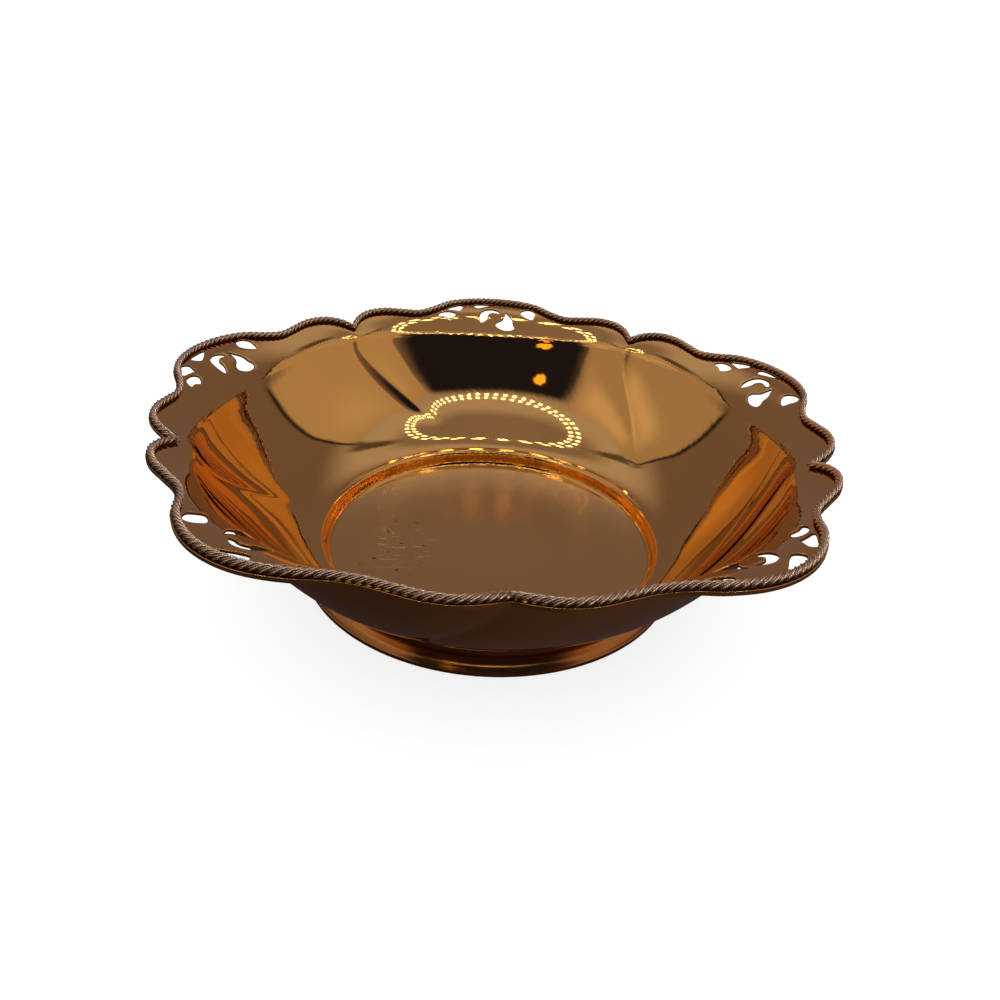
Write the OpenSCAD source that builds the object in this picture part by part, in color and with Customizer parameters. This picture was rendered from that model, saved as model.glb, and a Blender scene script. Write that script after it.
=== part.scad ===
// Footed dish of thin copper: round well, swirled five-lobed wall,
// pierced flange and a twisted rope border soldered round its edge.
// Millimetres. Origin on the axis at the plane the foot stands on, +Z up,
// with the middle of one lobe on +Y.

/* [Output] */
// Which piece to draw.

/* [Bowl] */
// Radius to the middle of the rope border at the middle of a lobe.
rim_r = 119.5; // [90:0.5:160]
// Height of the sheet's upper face at the middle of a lobe's edge.
rim_z = 62.2; // [45:0.1:90]
// Radius of the well's upper edge.
well_r = 62.5; // [45:0.5:80]
// Height of the well's upper edge.
well_z = 11.5; // [8:0.1:20]
// Depth of the well below its upper edge.
well_depth = 6.8; // [3:0.1:7]
// How much the well's floor rises from its middle to the step.
floor_rise = 0.8; // [0:0.05:1.6]
// Thickness of the sheet.
sheet_t = 0.9; // [0.6:0.05:1.6]
// Number of lobes.
lobes = 5; // [4:1:7]

/* [Flange] */
// Width of the flange at the middle of a lobe, from bend to rope.
flange_w = 20.1; // [14:0.1:28]
// Height the flange falls from its edge to the bend.
flange_drop = 9.7; // [5:0.1:14]
// How late the fall comes: 1 is a straight slope.
flange_curl = 2.3; // [1:0.05:2.5]
// How much farther out the bend lies at the creases.
bend_spread = 3.3; // [0:0.1:6]
// Width of sheet left outside the rope's middle line.
edge_over = 1.5; // [1:0.05:2.5]
// How far the turned-down edge hangs below the sheet's under face.
edge_lip = 0.4; // [0.1:0.05:1.5]

/* [Swirled creases] */
// Depth of the crease between two lobes.
crease_depth = 2.8; // [0:0.1:5]
// Sharpness of a crease, as a share of half a lobe.
crease_w_share = 0.15; // [0.05:0.01:0.4]
// Angle the creases swirl clockwise on their way down.
swirl_deg = 24; // [0:1:40]
// Share of the wall's height where the swirl begins.
swirl_top_share = 0.9; // [0.5:0.05:1]
// How late the swirl comes: 1 is an even spiral.
swirl_curl = 1.4; // [1:0.05:2.5]

/* [Rope border] */
// Radius of the twisted bar at its thick ribs.
rope_r = 1.2; // [0.8:0.01:1.5]
// Share of that radius that the thin ribs between them have.
rope_thin_share = 0.8; // [0.6:0.05:1]
// Length of one full turn of its twist.
rope_lead = 9.6; // [6:0.1:16]
// Gap left for solder under the rope and between its lengths.
rope_gap = 0.03; // [0.01:0.01:0.1]

/* [Foot] */
// Height of the base band.
foot_band_h = 1.9; // [1.2:0.1:4]
// How far outside the well's edge the foot's neck meets the bowl.
foot_neck_out = 3.8; // [2:0.1:12]
// How far the base band stands outside the neck.
foot_spread = 3.3; // [1.5:0.1:8]
// Thickness of the foot's wall.
foot_t = 1; // [0.7:0.05:1.6]
// Bulge of the bead round the neck.
foot_bead = 0.55; // [0:0.05:1.5]
// Gap left for solder at the foot's top.
foot_gap = 0.03; // [0.01:0.01:0.1]
// Width of the solder seam inside the neck.
seam_w = 1.3; // [0.8:0.1:2]

/* [Hidden] */
copper = [0.72, 0.42, 0.26];
dark_copper = [0.50, 0.29, 0.18];
solder_grey = [0.55, 0.50, 0.45];
half_deg = 180 / lobes;
back_deg = 90;

// Where the rim's outline has its turns, from a lobe's middle (0) to the
// cusp (1), and how far out it stands there as a share of rim_r.
rim_turn_shares = [0, 0.14, 0.28, 0.39, 0.5, 0.61, 0.72, 0.83, 0.92, 1];
rim_out_shares = [1, 0.991, 0.9635, 0.927, 0.909, 0.918, 0.932, 0.930, 0.909, 0.874];
// The sheet's columns between a lobe's middle and the cusp.
column_shares = [0, 0.15, 0.3, 0.42, 0.52, 0.62, 0.71, 0.8, 0.88, 0.94, 1];
// The wall's profile from the well's edge to the bend: out, up and how
// much of the crease each station carries.
wall_out_shares = [0, 0.077, 0.152, 0.234, 0.337, 0.444, 0.552, 0.658, 0.754, 0.848, 0.933, 1];
wall_up_shares = [0, 0.007, 0.028, 0.067, 0.131, 0.213, 0.314, 0.435, 0.563, 0.708, 0.858, 1];
wall_crease_shares = [0, 0, 0, 0.06, 0.2, 0.4, 0.58, 0.72, 0.84, 0.93, 0.98, 1];
// The dished floor, as shares of its radius, from the flat middle out.
floor_shares = [0.5, 0.7, 0.86];
// The step of the well, as shares of its depth, from the floor up.
step_out_shares = [-0.26, -0.18, -0.11];
step_up_shares = [0, 0.14, 0.84];
// The flange's stations from the bend to the edge.
flange_shares = [0.17, 0.36, 0.68, 1];
// The turned-down edge, from its outer corner to the under face: back from
// the edge, as shares of the sheet's thickness, and down, of the lip.
lip_back_shares = [0, 1, 1];
lip_down_shares = [1, 1, 0];

// The six openings of one lobe: turns of their outlines, across and out,
// as shares of rim_r, seen from above with the rim away from the viewer.
fret_heel_shares = [[-0.209, 0.876], [-0.202, 0.895], [-0.18, 0.907], [-0.155, 0.908],
                    [-0.141, 0.899], [-0.15, 0.884], [-0.167, 0.875], [-0.188, 0.88]];
fret_wing_shares = [[-0.18, 0.922], [-0.155, 0.945], [-0.129, 0.963], [-0.117, 0.959],
                    [-0.112, 0.949], [-0.119, 0.935], [-0.127, 0.92], [-0.155, 0.92]];
fret_sliver_shares = [[-0.074, 0.966], [-0.062, 0.979], [-0.035, 0.984], [0.004, 0.984],
                      [0.004, 0.976], [-0.013, 0.967], [-0.035, 0.954], [-0.06, 0.946]];
fret_crescent_shares = [[-0.044, 0.875], [-0.049, 0.892], [-0.043, 0.918], [-0.028, 0.935],
                        [0, 0.942], [0.023, 0.934], [0.034, 0.922], [0.024, 0.919],
                        [0.002, 0.922], [-0.014, 0.912], [-0.018, 0.894], [-0.03, 0.879]];
fret_comma_shares = [[0.056, 0.924], [0.066, 0.908], [0.079, 0.89], [0.081, 0.872],
                     [0.088, 0.856], [0.072, 0.85], [0.042, 0.852], [0.017, 0.864],
                     [0.018, 0.875], [0.042, 0.889], [0.05, 0.907]];
fret_leaf_shares = [[0.112, 0.923], [0.123, 0.94], [0.142, 0.948], [0.16, 0.941],
                    [0.172, 0.922], [0.166, 0.901], [0.16, 0.887], [0.145, 0.89],
                    [0.121, 0.907]];
// Points along each stretch of an outline, and the reach of the cut below
// the rim and in all, as shares of the flange's fall.
fret_steps = 2;
fret_down_share = 1.4;
fret_tall_share = 2;

// The foot's outline from the base band's top to the neck's ridge.
cove_in_shares = [0.1, 0.25, 0.55, 0.82, 0.95];
cove_up_shares = [0.05, 0.32, 0.62, 0.82, 0.97];
ridge_z_share = 0.45;
bead_steps = 6;
// The hollow inside: where the wall turns, and the top of the rolled base
// edge, as shares of the cove and of the base band.
hollow_in_share = 0.6;
hollow_up_share = 0.35;
base_lip_share = 0.22;
base_up_share = 0.6;
// The solder's hollow face, as shares of its width: in and down.
fillet_shares = [[0, 1], [0.25, 0.5], [0.5, 0.25]];
seam_steps = 5;
// How far apart the rim is sampled for its slant, as a share of half a lobe.
slant_share = 0.01;
rope_turn_steps = 8;
rope_sides = 4;

// Smooth curve through the points of two lists.
function seg(x, xs, i = 0) = (i >= len(xs) - 2 || x < xs[i + 1]) ? i : seg(x, xs, i + 1);
function tilt(i, xs, ys) = i == 0 ? 0
    : i == len(xs) - 1 ? (ys[i] - ys[i - 1]) / (xs[i] - xs[i - 1])
    : (ys[i + 1] - ys[i - 1]) / (xs[i + 1] - xs[i - 1]);
function smooth(x, xs, ys) =
    let (i = seg(x, xs))
    let (h = xs[i + 1] - xs[i])
    let (t = (x - xs[i]) / h)
    (2 * t * t * t - 3 * t * t + 1) * ys[i]
    + (t * t * t - 2 * t * t + t) * h * tilt(i, xs, ys)
    + (3 * t * t - 2 * t * t * t) * ys[i + 1]
    + (t * t * t - t * t) * h * tilt(i + 1, xs, ys);

// The rim's middle line, v from -1 to 1 across a lobe.
function rim_at(v) = rim_r * smooth(abs(v), rim_turn_shares, rim_out_shares);
function rim_slope(v) =
    let (a = min(abs(v), 1 - slant_share))
    (rim_at(a + slant_share) - rim_at(a)) / (slant_share * half_deg * PI / 180);
// How much longer a slanted stretch of rim is than its arc.
function stretch(v) = sqrt(1 + pow(rim_slope(v) / rim_at(v), 2));

// Height of the flange's upper face at a radius, and its slope there.
function flange_share(r) = max(0, rim_r - r) / flange_w;
function flange_z(r) = rim_z - flange_drop * pow(flange_share(r), flange_curl);
function flange_tilt(r) =
    flange_curl * flange_drop * pow(flange_share(r), flange_curl - 1) / flange_w;

// The sheet's upper face: [radius, height, turn] at a station and column.
function crease(v) = crease_depth * exp((abs(v) - 1) / crease_w_share);
function bend_r(v) = rim_r - flange_w + bend_spread * v * v;
function edge_r(v) = rim_at(v) + edge_over * stretch(v);
function swirl(up) = swirl_deg * pow(max(0, 1 - up / swirl_top_share), swirl_curl);
floor_r = well_r + well_depth * step_out_shares[0];
function floor_up(share) = floor_rise * pow((share - floor_shares[0]) / (1 - floor_shares[0]), 2);
function floor_at(i) = [floor_r * floor_shares[i],
                        well_z - well_depth + floor_up(floor_shares[i]), swirl_deg];
function step_at(i) = [well_r + well_depth * step_out_shares[i],
                       well_z - (well_depth - floor_rise) * (1 - step_up_shares[i]), swirl_deg];
function wall_at(i, v) = [
    well_r + wall_out_shares[i] * (bend_r(v) - well_r) - wall_crease_shares[i] * crease(v),
    well_z + wall_up_shares[i] * (flange_z(bend_r(v)) - well_z),
    swirl(wall_up_shares[i])];
function flange_at(t, v) =
    let (start = bend_r(v) - crease(v))
    let (r = start + t * (edge_r(v) - start))
    [r, flange_z(r + (1 - t) * crease(v)), 0];
floor_n = len(floor_shares);
step_n = floor_n + len(step_up_shares);
wall_n = step_n + len(wall_up_shares);
rows = wall_n + len(flange_shares);
function sheet_at(s, v) =
    s < floor_n ? floor_at(s)
    : s < step_n ? step_at(s - floor_n)
    : s < wall_n ? wall_at(s - step_n, v)
    : flange_at(flange_shares[s - wall_n], v);
// The under face: the upper face moved along its normal by the thickness.
function under_at(s, v) =
    let (p = sheet_at(s, v))
    let (d = sheet_at(min(s + 1, rows - 1), v) - sheet_at(max(s - 1, 0), v))
    let (n = norm([d[0], d[1]]))
    [p[0] + sheet_t * d[1] / n, p[1] - sheet_t * d[0] / n, p[2]];

// The edge turned down round the rim.
function lip_at(i, v) =
    let (p = sheet_at(rows - 1, v))
    [p[0] - lip_back_shares[i] * sheet_t * stretch(v),
     p[1] - sheet_t - lip_down_shares[i] * edge_lip, p[2]];
lip_n = len(lip_back_shares);

// All columns round the bowl as [angle of the lobe, place in the lobe].
half_n = len(column_shares) - 1;
columns = [for (k = [0:lobes - 1]) for (j = [0:2 * half_n - 1])
    [back_deg + 2 * half_deg * k,
     j < half_n ? -column_shares[half_n - j] : column_shares[j - half_n]]];
function place(p, c) =
    let (a = c[0] + c[1] * half_deg - p[2])
    [p[0] * cos(a), p[0] * sin(a), p[1]];

module sheet() {
    n = len(columns);
    m = 2 * rows + lip_n - 1;
    points = concat(
        [for (s = [0:rows - 1]) for (c = columns) place(sheet_at(s, c[1]), c)],
        [for (i = [0:lip_n - 1]) for (c = columns) place(lip_at(i, c[1]), c)],
        [for (s = [rows - 2:-1:0]) for (c = columns) place(under_at(s, c[1]), c)]);
    strips = [for (i = [0:m - 2]) for (j = [0:n - 1])
        let (k = (j + 1) % n)
        for (f = [[i * n + j, i * n + k, (i + 1) * n + k],
                  [i * n + j, (i + 1) * n + k, (i + 1) * n + j]]) f];
    caps = [[for (j = [n - 1:-1:0]) j], [for (j = [0:n - 1]) (m - 1) * n + j]];
    polyhedron(points = points, faces = concat(strips, caps), convexity = 12);
}

// A closed smooth curve through the points of an outline.
function loop_at(ps, i, t) =
    let (n = len(ps))
    let (a = ps[(i + n - 1) % n])
    let (b = ps[i])
    let (c = ps[(i + 1) % n])
    let (d = ps[(i + 2) % n])
    b + t * (c - a) / 2 + t * t * (a - 2.5 * b + 2 * c - d / 2)
    + t * t * t * (d - a + 3 * (b - c)) / 2;

module opening(ps) {
    polygon([for (i = [0:len(ps) - 1]) for (j = [0:fret_steps - 1])
        rim_r * loop_at(ps, i, j / fret_steps)]);
}

// The openings sawn through one lobe's flange.
module fret_lobe() {
    opening(fret_heel_shares);
    opening(fret_wing_shares);
    opening(fret_sliver_shares);
    opening(fret_crescent_shares);
    opening(fret_comma_shares);
    opening(fret_leaf_shares);
}

module bowl_body() {
    color(copper)
        difference() {
            sheet();
            for (k = [0:lobes - 1])
                rotate([0, 0, 2 * half_deg * k])
                    translate([0, 0, rim_z - fret_down_share * flange_drop])
                        linear_extrude(height = fret_tall_share * flange_drop)
                            fret_lobe();
        }
}

// One length of the rope: a bar with two thick and two thin ribs, twisted
// along the rim's middle line, with every section in a plane through the
// bowl's axis, so the ends are mitred against the next length at the cusps.
rope_step = rope_lead / rope_turn_steps;
rope_n = ceil(2 * half_deg * PI / 180 * rim_r / rope_step);
rope_end = 1 - rope_gap / (half_deg * PI / 180 * rim_r);
function rope_v(i) = rope_end * (2 * i / rope_n - 1);
function rope_z(v) =
    let (r = rim_at(v))
    flange_z(r) + rope_gap
    + norm([rope_r * stretch(v) * flange_tilt(r), rope_r]);
rope_run = [for (i = 0, s = 0; i <= rope_n;
    s = s + rim_at(rope_v(i)) * stretch(rope_v(i)) * 2 * half_deg * PI / 180 / rope_n,
    i = i + 1) s];

module rope_border(k) {
    points = [for (i = [0:rope_n]) for (q = [0:rope_sides - 1])
        let (v = rope_v(i))
        let (a = back_deg + 2 * half_deg * k + v * half_deg)
        let (w = 360 * (rope_run[i] / rope_lead + q / rope_sides))
        let (b = rope_r * (q % 2 == 0 ? 1 : rope_thin_share))
        let (r = rim_at(v) + b * stretch(v) * cos(w))
        [r * cos(a), r * sin(a), rope_z(v) + b * sin(w)]];
    sides = [for (i = [0:rope_n - 1]) for (q = [0:rope_sides - 1])
        let (p = (q + 1) % rope_sides)
        for (f = [[i * rope_sides + q, (i + 1) * rope_sides + q, (i + 1) * rope_sides + p],
                  [i * rope_sides + q, (i + 1) * rope_sides + p, i * rope_sides + p]]) f];
    ends = [[for (q = [0:rope_sides - 1]) q],
            [for (q = [rope_sides - 1:-1:0]) rope_n * rope_sides + q]];
    polyhedron(points = points, faces = concat(sides, ends), convexity = 8);
}

module rope_border_back() {
    color(dark_copper)
        rope_border(0);
}

module rope_border_left_back() {
    color(dark_copper)
        rope_border(1);
}

module rope_border_front_left() {
    color(dark_copper)
        rope_border(2);
}

module rope_border_front_right() {
    color(dark_copper)
        rope_border(3);
}

module rope_border_right_back() {
    color(dark_copper)
        rope_border(4);
}

// The foot's radii follow the well. Its top follows the lowest that the
// sheet's under face lies at a radius.
foot_neck_r = well_r + foot_neck_out;
foot_r = foot_neck_r + foot_spread;
under_lines = [for (v = column_shares) [for (s = [0:rows - 1]) under_at(s, v)]];
function line_z(r, ps, i = 0) =
    i < len(ps) - 2 && r > ps[i + 1][0] ? line_z(r, ps, i + 1)
    : ps[i][1] + (r - ps[i][0]) * (ps[i + 1][1] - ps[i][1]) / (ps[i + 1][0] - ps[i][0]);
function under_z(r) = min([for (ps = under_lines) line_z(r, ps)]);
neck_z = under_z(foot_neck_r - foot_t) - foot_gap;
ridge_z = ridge_z_share * neck_z;
base_lip = base_lip_share * foot_spread;

// The foot: base band, hollow cove, ridge and a beaded neck.
module foot_ring() {
    cove_h = ridge_z - foot_band_h;
    bead_h = neck_z - ridge_z;
    outer = concat(
        [[foot_r, 0], [foot_r, foot_band_h]],
        [for (i = [0:len(cove_in_shares) - 1])
            [foot_r - foot_spread * cove_in_shares[i], foot_band_h + cove_h * cove_up_shares[i]]],
        [for (i = [0:bead_steps])
            [foot_neck_r + foot_bead * sin(180 * i / bead_steps),
             ridge_z + bead_h * i / bead_steps]]);
    inner = [
        [foot_neck_r - foot_t, neck_z],
        [foot_neck_r - foot_t, ridge_z],
        [foot_r - foot_t - foot_spread * hollow_in_share, foot_band_h + cove_h * hollow_up_share],
        [foot_r - 2 * foot_t - base_lip, foot_band_h * base_up_share],
        [foot_r - 2 * foot_t - base_lip, 0]];
    color(copper)
        rotate_extrude()
            polygon(concat(outer, inner));
}

// Fillet of solder in the corner between the neck and the bowl. Its top
// follows the sheet's under face.
module foot_solder_seam() {
    seam_r = foot_neck_r - foot_t - foot_gap;
    top = [for (i = [seam_steps:-1:0])
        let (r = seam_r - seam_w * i / seam_steps)
        [r, under_z(r) - foot_gap]];
    color(solder_grey)
        rotate_extrude()
            polygon(concat(top,
                [for (q = fillet_shares)
                    [seam_r - seam_w * q[0], top[seam_steps][1] - seam_w * q[1]]]));
}

bowl_body();
rope_border_back();
rope_border_left_back();
rope_border_front_left();
rope_border_front_right();
rope_border_right_back();
foot_ring();
foot_solder_seam();
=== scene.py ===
"""Footed dish of polished copper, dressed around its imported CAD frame.

The sheet, the rope border and the foot are rebuilt here at a finer grain
from the sizes of the CAD source. Sizes are in millimetres until MM turns
them to metres.
"""
import itertools
import math

import bpy
import numpy as np
from mathutils import Matrix, Vector
from mathutils.geometry import delaunay_2d_cdt


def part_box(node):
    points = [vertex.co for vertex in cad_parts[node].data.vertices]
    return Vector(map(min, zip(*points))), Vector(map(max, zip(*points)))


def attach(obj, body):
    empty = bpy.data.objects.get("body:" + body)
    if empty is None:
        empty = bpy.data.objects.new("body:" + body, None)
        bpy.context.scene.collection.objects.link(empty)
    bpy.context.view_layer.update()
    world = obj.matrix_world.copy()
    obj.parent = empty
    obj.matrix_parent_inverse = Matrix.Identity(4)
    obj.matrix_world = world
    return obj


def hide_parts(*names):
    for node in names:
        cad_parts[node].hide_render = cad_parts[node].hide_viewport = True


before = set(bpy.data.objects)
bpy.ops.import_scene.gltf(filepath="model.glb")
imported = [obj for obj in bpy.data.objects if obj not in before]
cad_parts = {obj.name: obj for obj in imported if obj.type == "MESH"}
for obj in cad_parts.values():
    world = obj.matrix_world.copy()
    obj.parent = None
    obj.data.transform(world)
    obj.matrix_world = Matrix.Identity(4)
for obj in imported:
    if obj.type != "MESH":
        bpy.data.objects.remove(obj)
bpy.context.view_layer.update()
MM = 0.001

# Camera
IMAGE_PX = 1000
SENSOR_MM = 36.0
FOCAL_PX = 759.155
ORIGIN_PX = (489.319, 550.423)
CAM_ELEVATION = math.radians(34.216)
CAM_DISTANCE = 294.825
CAM_ROLL = math.radians(3.530)
CAM_TURN = math.radians(-2.989)


def make_camera():
    """Camera of the photo: level axes, then rolled, then aimed so that the
    origin falls on its pixel."""
    ce, se = math.cos(CAM_ELEVATION), math.sin(CAM_ELEVATION)
    right, up, fwd = Vector((1, 0, 0)), Vector((0, se, ce)), Vector((0, ce, -se))
    cr, sr = math.cos(CAM_ROLL), math.sin(CAM_ROLL)
    right2, up2 = cr * right + sr * up, -sr * right + cr * up
    a = math.atan2(ORIGIN_PX[0] - IMAGE_PX / 2, FOCAL_PX)
    b = math.atan2(-(ORIGIN_PX[1] - IMAGE_PX / 2), FOCAL_PX)
    x_cam = math.cos(a) * right2 + math.sin(a) * fwd
    ahead = -math.sin(a) * right2 + math.cos(a) * fwd
    y_cam = math.cos(b) * up2 + math.sin(b) * ahead
    look = -math.sin(b) * up2 + math.cos(b) * ahead
    basis = Matrix((x_cam, y_cam, -look)).transposed().to_4x4()
    place = Vector((0, -CAM_DISTANCE * ce, CAM_DISTANCE * se)) * MM
    data = bpy.data.cameras.new("camera")
    data.sensor_width = SENSOR_MM
    data.lens = FOCAL_PX / IMAGE_PX * SENSOR_MM
    data.dof.use_dof = False
    data.clip_start = 0.01
    cam = bpy.data.objects.new("camera", data)
    bpy.context.scene.collection.objects.link(cam)
    cam.matrix_world = Matrix.Rotation(CAM_TURN, 4, "Z") @ Matrix.Translation(place) @ basis
    bpy.context.scene.camera = cam


make_camera()

# Sizes of the CAD source, in millimetres
RIM_R, RIM_Z = 119.5, 62.2
WELL_R, WELL_Z, WELL_DEPTH, FLOOR_RISE = 62.5, 11.5, 6.8, 0.8
SHEET_T = 0.9
LOBES = 5
HALF = math.pi / LOBES
FLANGE_W, FLANGE_DROP, FLANGE_CURL = 20.1, 9.7, 2.3
BEND_SPREAD, EDGE_OVER = 3.3, 1.5
CREASE_DEPTH, CREASE_W, CREASE_ROUND = 2.8, 0.15, 0.02
SWIRL, SWIRL_TOP, SWIRL_CURL = math.radians(24), 0.9, 1.4
ROPE_R, ROPE_LEAD, ROPE_GAP = 1.2, 9.6, 0.03
ROPE_THIN = 0.8                  # reach of the thin ribs, as a share of the radius
EDGE_LIP, EDGE_ROUND = 0.4, 0.2
FOOT_NECK_R, FOOT_SPREAD, FOOT_T = 66.3, 3.3, 1.0
FOOT_BAND_H, FOOT_BEAD = 1.9, 0.55
BACK = math.pi / 2

# The rim's outline: shares of half a lobe, and of the rim's radius there.
RIM_TURNS = [0, 0.14, 0.28, 0.39, 0.5, 0.61, 0.72, 0.83, 0.92, 1]
RIM_OUT = [1, 0.991, 0.9635, 0.927, 0.909, 0.918, 0.932, 0.930, 0.909, 0.874]
# The well's step from its floor up, as shares of its depth.
STEP_OUT, STEP_UP = [-0.34, -0.26, -0.175, -0.11], [0, 0.055, 0.25, 0.82]
# The wall from the well to the bend: how far out, how far up, and how much of
# the crease is there.
WALL_OUT = [0, 0.077, 0.152, 0.234, 0.337, 0.444, 0.552, 0.658, 0.754, 0.848, 0.933, 1]
WALL_UP = [0, 0.012, 0.034, 0.069, 0.131, 0.213, 0.314, 0.435, 0.563, 0.708, 0.858, 1]
WALL_CREASE = [0, 0, 0, 0.06, 0.2, 0.4, 0.58, 0.72, 0.84, 0.93, 0.98, 1]
FLOOR_FLAT = 0.5                 # share of the floor that is level

# The openings of one lobe: across it, and out from the axis, as shares of the
# rim's radius.
FRETS = {
    "heel": [(-0.209, 0.876), (-0.202, 0.895), (-0.18, 0.907), (-0.155, 0.908),
             (-0.141, 0.899), (-0.15, 0.884), (-0.167, 0.875), (-0.188, 0.88)],
    "wing": [(-0.18, 0.922), (-0.155, 0.945), (-0.129, 0.963), (-0.117, 0.959),
             (-0.112, 0.949), (-0.119, 0.935), (-0.127, 0.92), (-0.155, 0.92)],
    "sliver": [(-0.074, 0.966), (-0.062, 0.979), (-0.035, 0.984), (0.004, 0.984),
               (0.004, 0.976), (-0.013, 0.967), (-0.035, 0.954), (-0.06, 0.946)],
    "crescent": [(-0.044, 0.875), (-0.049, 0.892), (-0.043, 0.918), (-0.028, 0.935),
                 (0, 0.942), (0.023, 0.934), (0.034, 0.922), (0.024, 0.919),
                 (0.002, 0.922), (-0.014, 0.912), (-0.018, 0.894), (-0.03, 0.879)],
    "comma": [(0.056, 0.924), (0.066, 0.908), (0.079, 0.89), (0.081, 0.872),
              (0.088, 0.856), (0.072, 0.85), (0.042, 0.852), (0.017, 0.864),
              (0.018, 0.875), (0.042, 0.889), (0.05, 0.907)],
    "leaf": [(0.112, 0.923), (0.123, 0.94), (0.142, 0.948), (0.16, 0.941),
             (0.172, 0.922), (0.166, 0.901), (0.16, 0.887), (0.145, 0.89),
             (0.121, 0.907)],
}


# Curves and surfaces
def smooth(x, xs, ys, level_start=True):
    """Cubic through the points, as in the CAD: level at the start, or free."""
    x, xs, ys = np.asarray(x, float), np.asarray(xs, float), np.asarray(ys, float)
    tilt = np.empty_like(ys)
    tilt[1:-1] = (ys[2:] - ys[:-2]) / (xs[2:] - xs[:-2])
    tilt[0] = 0 if level_start else (ys[1] - ys[0]) / (xs[1] - xs[0])
    tilt[-1] = (ys[-1] - ys[-2]) / (xs[-1] - xs[-2])
    i = np.clip(np.searchsorted(xs, x, side="right") - 1, 0, len(xs) - 2)
    h = xs[i + 1] - xs[i]
    t = (x - xs[i]) / h
    return ((2 * t**3 - 3 * t**2 + 1) * ys[i] + (t**3 - 2 * t**2 + t) * h * tilt[i]
            + (3 * t**2 - 2 * t**3) * ys[i + 1] + (t**3 - t**2) * h * tilt[i + 1])


def rim_at(v):
    """Radius of the rope's middle line. v runs from -1 to 1 across a lobe."""
    return RIM_R * smooth(np.abs(v), RIM_TURNS, RIM_OUT)


def stretch(v, step=0.01):
    """How much longer a radial reach is than the same reach square to the rim."""
    a = np.minimum(np.abs(v), 1 - step)
    slope = (rim_at(a + step) - rim_at(a)) / (step * HALF)
    return np.sqrt(1 + (slope / rim_at(v)) ** 2)


def flange_z(r):
    """Height of the flange where there is no crease."""
    return RIM_Z - FLANGE_DROP * (np.maximum(0, RIM_R - r) / FLANGE_W) ** FLANGE_CURL


def flange_tilt(r):
    """Slope of the flange at a radius."""
    share = np.maximum(0, RIM_R - r) / FLANGE_W
    return FLANGE_CURL * FLANGE_DROP * share ** (FLANGE_CURL - 1) / FLANGE_W


def crease(v):
    """Depth of the crease between two lobes, rounded at its bottom."""
    off = np.sqrt((1 - np.abs(v)) ** 2 + CREASE_ROUND**2) - CREASE_ROUND
    return CREASE_DEPTH * np.exp(-off / CREASE_W)


def bend_r(v):
    """Radius of the bend between wall and flange."""
    return RIM_R - FLANGE_W + BEND_SPREAD * v**2


def edge_r(v):
    """Radius at which the sheet's upper face ends under the rope."""
    return rim_at(v) + EDGE_OVER * stretch(v) - EDGE_ROUND


def swirl(up):
    """How far the wall has turned, by the share of its height."""
    return SWIRL * np.maximum(0, 1 - up / SWIRL_TOP) ** SWIRL_CURL


COLUMNS, CUSP_CLOSER = 88, 0.35      # columns of the sheet across one lobe, closer at the cusps
# Rows of the floor, as shares of its radius.
FLOOR_RINGS = [0.1, 0.2, 0.3, 0.38, 0.45, 0.52, 0.58, 0.64, 0.7, 0.75, 0.8, 0.84, 0.88, 0.92,
               0.95, 0.975]
INNER_T, INNER_ROWS = 0.08, 3        # share of the flange that the columns reach, in how many rows
WALL_RUN, WALL_RISE = 39, 42         # about how far the wall runs out and rises
WALL_SPLIT = 4                       # rows between two points of the wall
ROW_STEP, ROW_LEAST = 1.2, 0.12      # most and least between two rows
STEP_FILLET, WELL_FILLET, BEND_FILLET = 0.5, 0.8, 2.2
FILLET_REACH, FILLET_ROWS = 1.2, 9   # rows added at a fillet, this many times its size either way


def lobe_columns():
    """Places across a lobe from -1 to 1, closer together at the cusps."""
    u = np.linspace(-1, 1, COLUMNS + 1)
    return np.sin(u * math.pi / 2) * CUSP_CLOSER + u * (1 - CUSP_CLOSER)


def lobe_profile(v):
    """Radius, height and turn up one column: floor, step, wall, bend."""
    start = bend_r(v) - crease(v)
    rise = flange_z(bend_r(v)) - WELL_Z
    out, up = np.array(WALL_OUT), np.array(WALL_UP)
    steps = np.hypot(np.diff(out) * WALL_RUN, np.diff(up) * WALL_RISE)
    along = np.concatenate([[0], np.cumsum(steps)])
    spans = [np.linspace(a, b, WALL_SPLIT + 1) for a, b in zip(along, along[1:])]
    fine = np.unique(np.concatenate(spans))
    out_f, up_f, crease_f = (smooth(fine, along, c, False) for c in (out, up, WALL_CREASE))
    r = WELL_R + out_f * (bend_r(v) - WELL_R) - crease_f * crease(v)
    z = WELL_Z + up_f * rise
    turn = swirl(up_f)
    step_r = WELL_R + WELL_DEPTH * np.array(STEP_OUT)
    step_z = WELL_Z - (WELL_DEPTH - FLOOR_RISE) * (1 - np.array(STEP_UP))
    floor_r = step_r[0] * np.array(FLOOR_RINGS)
    share = np.maximum(0, np.array(FLOOR_RINGS) - FLOOR_FLAT) / (1 - FLOOR_FLAT)
    r0 = np.concatenate([floor_r, step_r])
    z0 = np.concatenate([step_z[0] - FLOOR_RISE * (1 - share**2), step_z])
    t = np.linspace(0, INNER_T, INNER_ROWS + 1)[1:]
    r2 = start + t * (edge_r(v) - start)
    z2 = flange_z(r2 + (1 - t) * crease(v))
    return (np.concatenate([r0, r, r2]), np.concatenate([z0, z, z2]),
            np.concatenate([np.full(len(r0), SWIRL), turn, np.zeros(len(t))]))


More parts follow.
